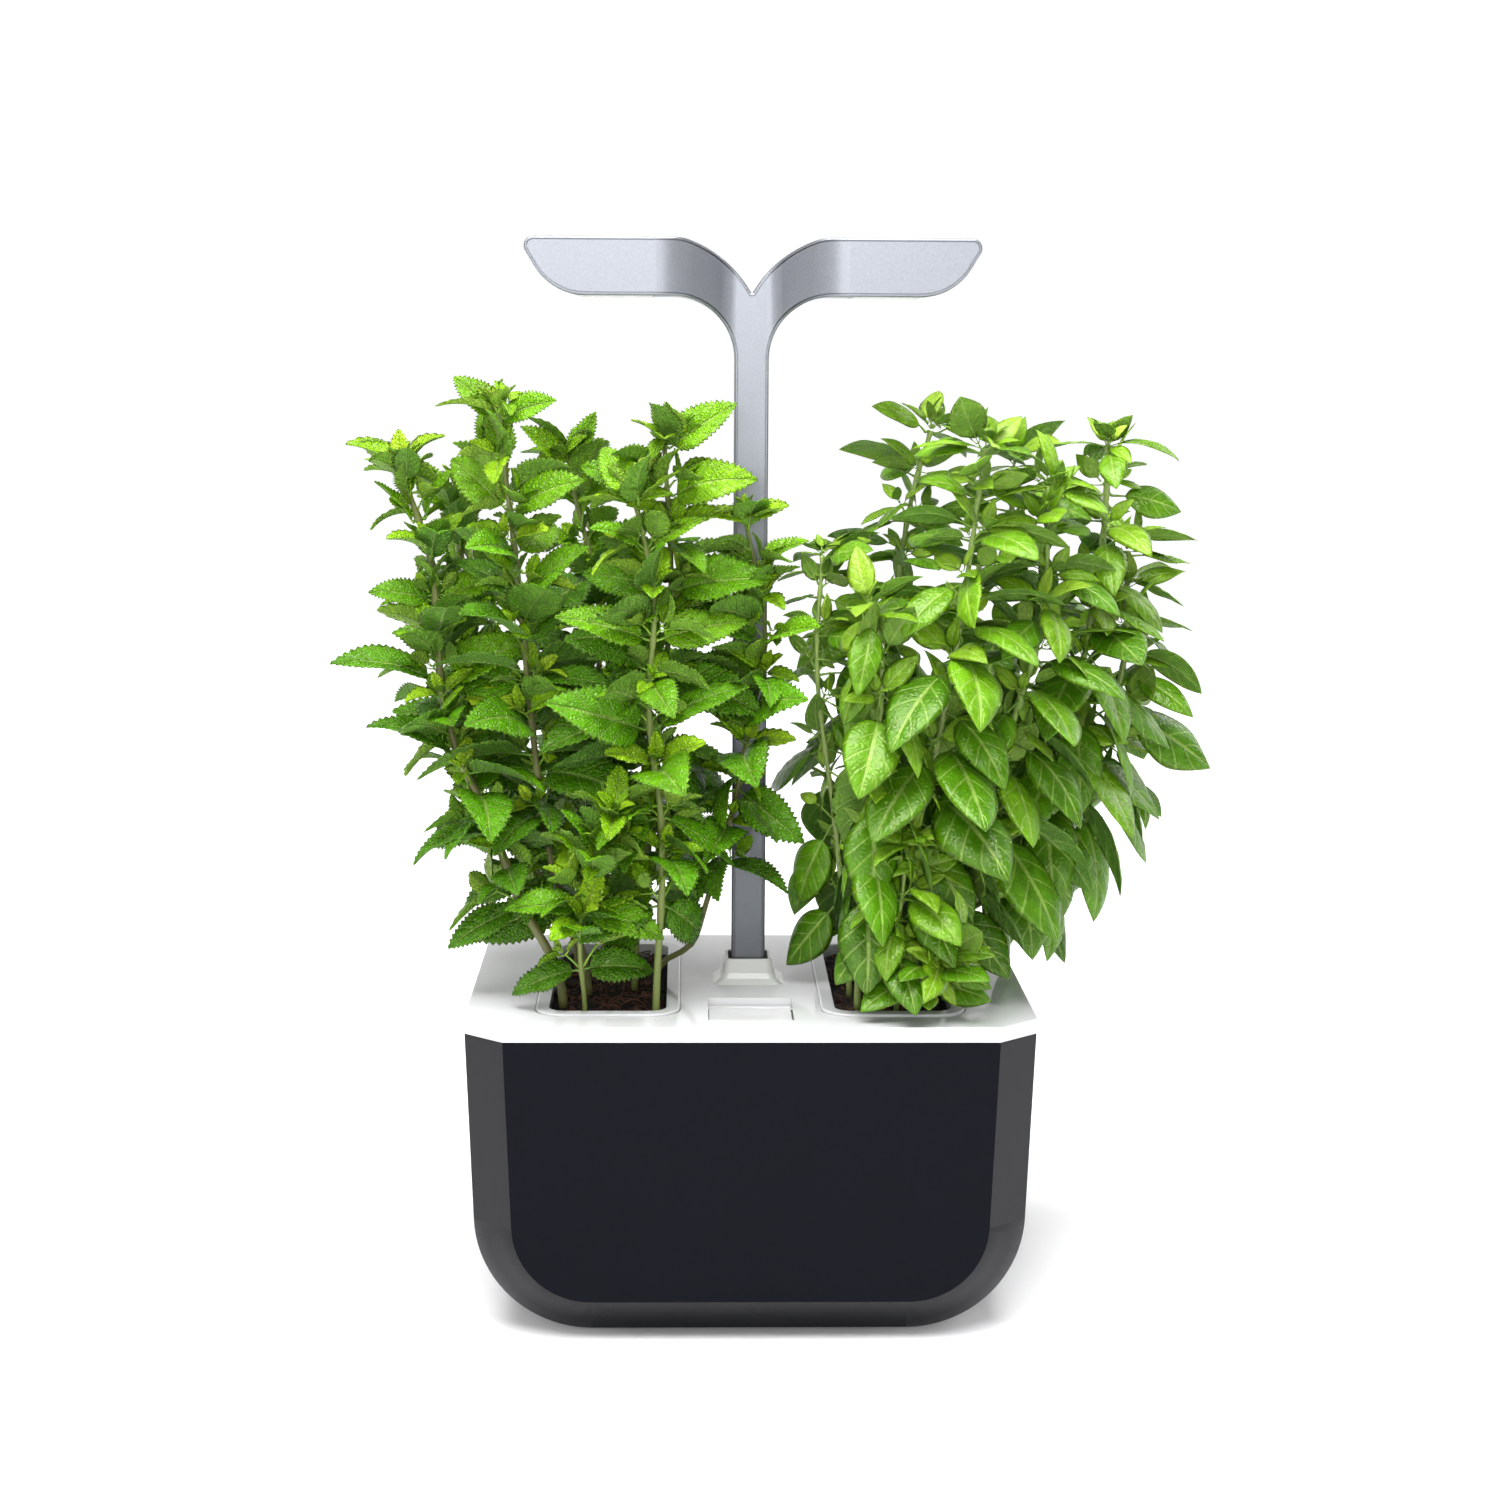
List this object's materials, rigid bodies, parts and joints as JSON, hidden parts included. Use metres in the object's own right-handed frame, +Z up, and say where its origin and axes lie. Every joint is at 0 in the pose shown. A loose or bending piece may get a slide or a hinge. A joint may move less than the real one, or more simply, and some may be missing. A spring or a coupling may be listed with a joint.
{
  "type": "countertop hydroponic garden",
  "caption": "Tabletop indoor herb garden: U-shaped water tank, white lift-off cover, lift-out planted pots with wicks, and a height-adjustable lamp with spread wings on a square mast.",
  "frame": {"origin": "on the table, in the plane of the foot ring, under the middle of the tank", "axes": "+X to the right seen from the front, -Y towards the front, +Z up"},
  "size_m": [0.3818, 0.2014, 0.4589],
  "materials": {
    "dark_gloss": "gloss",
    "foot_rubber": "matt",
    "white_gloss": "gloss",
    "socket_grey": "satin",
    "gasket_rubber": "matt",
    "inner_plastic": "satin",
    "screw_steel": "satin",
    "black_plastic": "satin",
    "circuit_board": "satin",
    "jack_black": "satin",
    "float_foam": "matt",
    "float_rod_red": "gloss",
    "button_grey": "satin",
    "pot_white": "gloss",
    "growing_medium": "rough, wet coir and peat",
    "wick_felt": "felt",
    "mint_stem": "ribbed, fresh",
    "mint_leaf": "soft, quilted, fresh green",
    "basil_stem": "smooth, fresh",
    "basil_leaf": "soft, smooth, fresh green",
    "lamp_silver": "fine metallic silver",
    "lamp_silver_face": "fine metallic silver",
    "light_board_white": "satin",
    "light_chip": "gloss",
    "diffuser_frosted": "frosted",
    "wire_white": "satin",
    "contact_brass": "polished"
  },
  "bodies": {
    "tank": {"tank_shell": "dark_gloss", "foot_ring": "foot_rubber"},
    "cover": {"cover_plate": "white_gloss", "mast_socket": "socket_grey", "mast_gasket": "gasket_rubber", "mast_sleeve": "inner_plastic", "sleeve_screws": "screw_steel", "flap_pin": "screw_steel", "float_guide": "inner_plastic", "driver_housing": "black_plastic", "driver_lid": "black_plastic", "lid_screws": "screw_steel", "driver_board": "circuit_board", "power_inlet": "jack_black", "contact_block": "jack_black"},
    "filler_flap": {"filler_flap": "white_gloss"},
    "level_float": {"level_float": "float_foam", "float_rod": "float_rod_red"},
    "mode_button": {"mode_button": "button_grey"},
    "left_basket": {"left_basket": "pot_white", "left_growing_block": "growing_medium", "left_wick": "wick_felt", "mint_stems": "mint_stem", "mint_leaves": "mint_leaf"},
    "right_basket": {"right_basket": "pot_white", "right_growing_block": "growing_medium", "right_wick": "wick_felt", "basil_stems": "basil_stem", "basil_leaves": "basil_leaf"},
    "lamp": {"lamp_shell": "lamp_silver", "lamp_cover": "lamp_silver_face", "left_light_board": "light_board_white", "right_light_board": "light_board_white", "left_light_chips": "light_chip", "right_light_chips": "light_chip", "left_diffuser": "diffuser_frosted", "right_diffuser": "diffuser_frosted", "lamp_wires": "wire_white", "contact_strip": "contact_brass", "mast_foot": "inner_plastic"}
  },
  "joints": [
    {"name": "cover_lift", "type": "slide", "parent": "tank", "child": "cover", "axis": [0, 0, 1], "range_m": [0, 0.135]},
    {"name": "lamp_height", "type": "slide", "parent": "cover", "child": "lamp", "axis": [0, 0, 1], "range_m": [-0.07, 0.025]},
    {"name": "left_lift", "type": "slide", "parent": "cover", "child": "left_basket", "axis": [0, 0, 1], "range_m": [0, 0.068]},
    {"name": "right_lift", "type": "slide", "parent": "cover", "child": "right_basket", "axis": [0, 0, 1], "range_m": [0, 0.068]},
    {"name": "flap_hinge", "type": "hinge", "parent": "cover", "child": "filler_flap", "pos_m": [0, -0.0378, 0.1318], "axis": [-1, 0, 0], "range_deg": [0, 95]},
    {"name": "float_rise", "type": "slide", "parent": "cover", "child": "level_float", "axis": [0, 0, 1], "range_m": [0, 0.07]},
    {"name": "button_press", "type": "slide", "parent": "cover", "child": "mode_button", "axis": [0, -1, 0], "range_m": [0, 0.001], "stiffness_N_per_m": 600}
  ]
}
